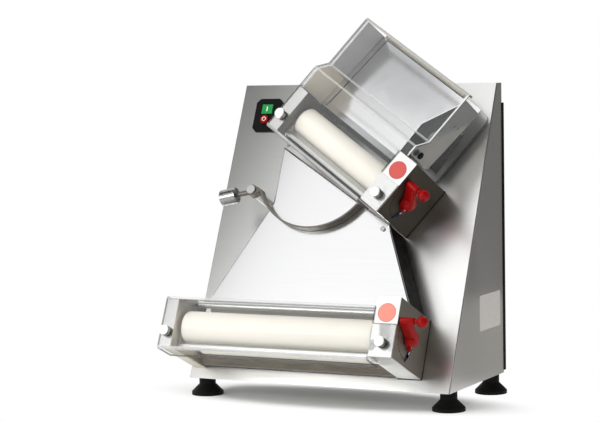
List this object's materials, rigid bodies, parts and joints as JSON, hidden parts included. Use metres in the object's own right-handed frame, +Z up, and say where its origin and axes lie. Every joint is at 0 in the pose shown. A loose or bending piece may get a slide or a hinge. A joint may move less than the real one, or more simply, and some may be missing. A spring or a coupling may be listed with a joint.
{
  "type": "pizza dough roller",
  "caption": "Table-top two-stage dough sheeter: leaning steel housing with a turned upper and a level lower roller unit, feed hood, chute, balance arm and gap levers.",
  "frame": {"origin": "middle of the footprint, on the surface that the feet stand on", "axes": "+Z up, +X to the operator's right, the front panel faces -Y"},
  "size_m": [0.461, 0.3478, 0.5867],
  "materials": {
    "brushed_stainless": "brushed",
    "polished_stainless": "polished",
    "bright_aluminium": "polished",
    "plated_steel": "plated",
    "shaft_steel": "ground",
    "cream_acetal": "smooth",
    "gear_acetal": "machined",
    "clear_polycarbonate": "clear",
    "red_plastic": "glossy",
    "green_plastic": "glossy",
    "blue_pointer": "glossy",
    "black_plastic": "satin",
    "black_rubber": "matte",
    "bronze": "turned",
    "cast_aluminium": "cast",
    "painted_motor": "painted"
  },
  "bodies": {
    "housing": {"housing_shell": "brushed_stainless", "base_plate": "brushed_stainless", "rear_cover": "black_plastic", "cable_gland": "black_plastic", "screws": "plated_steel", "rubber_feet": "black_rubber", "transfer_chute": "polished_stainless", "arm_post": "polished_stainless", "switch_plate": "black_plastic", "motor": "painted_motor", "gear_case": "cast_aluminium", "jackshaft_brackets": "shaft_steel", "belts": "black_rubber", "roller_bushes": "bronze", "feed_tray": "polished_stainless", "lower_gear_box": "brushed_stainless", "lower_left_support": "brushed_stainless", "lower_guard": "clear_polycarbonate", "lower_rear_scraper": "polished_stainless", "upper_gear_box": "brushed_stainless", "upper_left_support": "brushed_stainless", "upper_guard": "clear_polycarbonate", "upper_rear_scraper": "polished_stainless"},
    "drive": {"drive_shaft": "shaft_steel", "drive_pulleys": "cast_aluminium"},
    "jack": {"jackshaft": "shaft_steel", "jackshaft_pulleys": "cast_aluminium"},
    "lower_rear": {"lower_rear_roller": "cream_acetal", "lower_rear_shaft": "shaft_steel", "lower_rear_gear": "gear_acetal", "lower_rear_pulley": "cast_aluminium"},
    "lower_slide": {"lower_carriage": "polished_stainless"},
    "lower_front": {"lower_front_roller": "cream_acetal", "lower_front_shaft": "shaft_steel", "lower_front_gear": "gear_acetal"},
    "lower_setting": {"lower_lever": "red_plastic", "lower_lever_ball": "red_plastic", "lower_pointer": "blue_pointer", "lower_lever_cam": "shaft_steel"},
    "lower_left_thumb_knob": {"lower_knob_left": "plated_steel"},
    "lower_right_thumb_knob": {"lower_knob_right": "plated_steel"},
    "upper_rear": {"upper_rear_roller": "cream_acetal", "upper_rear_shaft": "shaft_steel", "upper_rear_gear": "gear_acetal", "upper_rear_pulley": "cast_aluminium"},
    "upper_slide": {"upper_carriage": "polished_stainless"},
    "upper_front": {"upper_front_roller": "cream_acetal", "upper_front_shaft": "shaft_steel", "upper_front_gear": "gear_acetal"},
    "upper_setting": {"upper_lever": "red_plastic", "upper_lever_ball": "red_plastic", "upper_pointer": "blue_pointer", "upper_lever_cam": "shaft_steel"},
    "upper_left_thumb_knob": {"upper_knob_left": "plated_steel"},
    "upper_right_thumb_knob": {"upper_knob_right": "plated_steel"},
    "arm": {"balance_arm": "bright_aluminium", "counterweight": "plated_steel"},
    "start": {"start_button": "green_plastic"},
    "stop": {"stop_button": "red_plastic"}
  },
  "joints": [
    {"name": "lower_rear_spin", "type": "hinge", "parent": "housing", "child": "lower_rear", "pos_m": [0.1346, -0.07371, 0.09497], "axis": [1, 0, 0], "continuous": true},
    {"name": "lower_lever_turn", "type": "hinge", "parent": "housing", "child": "lower_setting", "pos_m": [0.1726, -0.09985, 0.12381], "axis": [-1, 0, 0], "range_deg": [0, 78]},
    {"name": "lower_gap_slide", "type": "slide", "parent": "housing", "child": "lower_slide", "axis": [0, -0.9111, 0.4123], "range_m": [0, 0.0035]},
    {"name": "lower_front_spin", "type": "hinge", "parent": "lower_slide", "child": "lower_front", "pos_m": [0.1346, -0.12081, 0.11628], "axis": [1, 0, 0], "continuous": true},
    {"name": "lower_left_knob_turn", "type": "hinge", "parent": "housing", "child": "lower_left_thumb_knob", "pos_m": [-0.2049, -0.16265, 0.11601], "axis": [0, -0.9111, 0.4123], "range_deg": [0, 360]},
    {"name": "lower_right_knob_turn", "type": "hinge", "parent": "housing", "child": "lower_right_thumb_knob", "pos_m": [0.1536, -0.16265, 0.11601], "axis": [0, -0.9111, 0.4123], "range_deg": [0, 360]},
    {"name": "upper_rear_spin", "type": "hinge", "parent": "housing", "child": "upper_rear", "pos_m": [0.10118, 0.01821, 0.31265], "axis": [0.8241, -0.2335, -0.516], "continuous": true},
    {"name": "upper_lever_turn", "type": "hinge", "parent": "housing", "child": "upper_setting", "pos_m": [0.14127, -0.01245, 0.31693], "axis": [-0.8241, 0.2335, 0.516], "range_deg": [0, 78]},
    {"name": "upper_gap_slide", "type": "slide", "parent": "housing", "child": "upper_slide", "axis": [0, -0.9111, 0.4123], "range_m": [0, 0.0035]},
    {"name": "upper_front_spin", "type": "hinge", "parent": "upper_slide", "child": "upper_front", "pos_m": [0.10118, -0.02342, 0.33149], "axis": [0.8241, -0.2335, -0.516], "continuous": true},
    {"name": "upper_left_knob_turn", "type": "hinge", "parent": "housing", "child": "upper_left_thumb_knob", "pos_m": [-0.07727, -0.01623, 0.43955], "axis": [0, -0.9111, 0.4123], "range_deg": [0, 360]},
    {"name": "upper_right_knob_turn", "type": "hinge", "parent": "housing", "child": "upper_right_thumb_knob", "pos_m": [0.10692, -0.06843, 0.32422], "axis": [0, -0.9111, 0.4123], "range_deg": [0, 360]},
    {"name": "drive_spin", "type": "hinge", "parent": "housing", "child": "drive", "pos_m": [0, 0.07015, 0.102], "axis": [1, 0, 0], "continuous": true},
    {"name": "jack_spin", "type": "hinge", "parent": "housing", "child": "jack", "pos_m": [0, 0.1223, 0.24845], "axis": [1, 0, 0], "continuous": true},
    {"name": "arm_swing", "type": "hinge", "parent": "housing", "child": "arm", "pos_m": [-0.13, -0.00755, 0.31685], "axis": [0, -0.9111, 0.4123], "range_deg": [-35, 0]},
    {"name": "start_press", "type": "slide", "parent": "housing", "child": "start", "axis": [0, 0.9111, -0.4123], "range_m": [0, 0.003], "stiffness_N_per_m": 400, "springref_m": -0.001},
    {"name": "stop_press", "type": "slide", "parent": "housing", "child": "stop", "axis": [0, 0.9111, -0.4123], "range_m": [0, 0.003], "stiffness_N_per_m": 400, "springref_m": -0.001}
  ],
  "couplings": [
    {"joint": "lower_lever_turn", "follows": "lower_gap_slide", "rad_per_m": 388.96},
    {"joint": "lower_front_spin", "follows": "lower_rear_spin", "ratio": -1},
    {"joint": "upper_lever_turn", "follows": "upper_gap_slide", "rad_per_m": 388.96},
    {"joint": "upper_front_spin", "follows": "lower_rear_spin", "ratio": -1},
    {"joint": "upper_rear_spin", "follows": "lower_rear_spin", "ratio": 1},
    {"joint": "drive_spin", "follows": "lower_rear_spin", "ratio": 1},
    {"joint": "jack_spin", "follows": "lower_rear_spin", "ratio": 1}
  ]
}
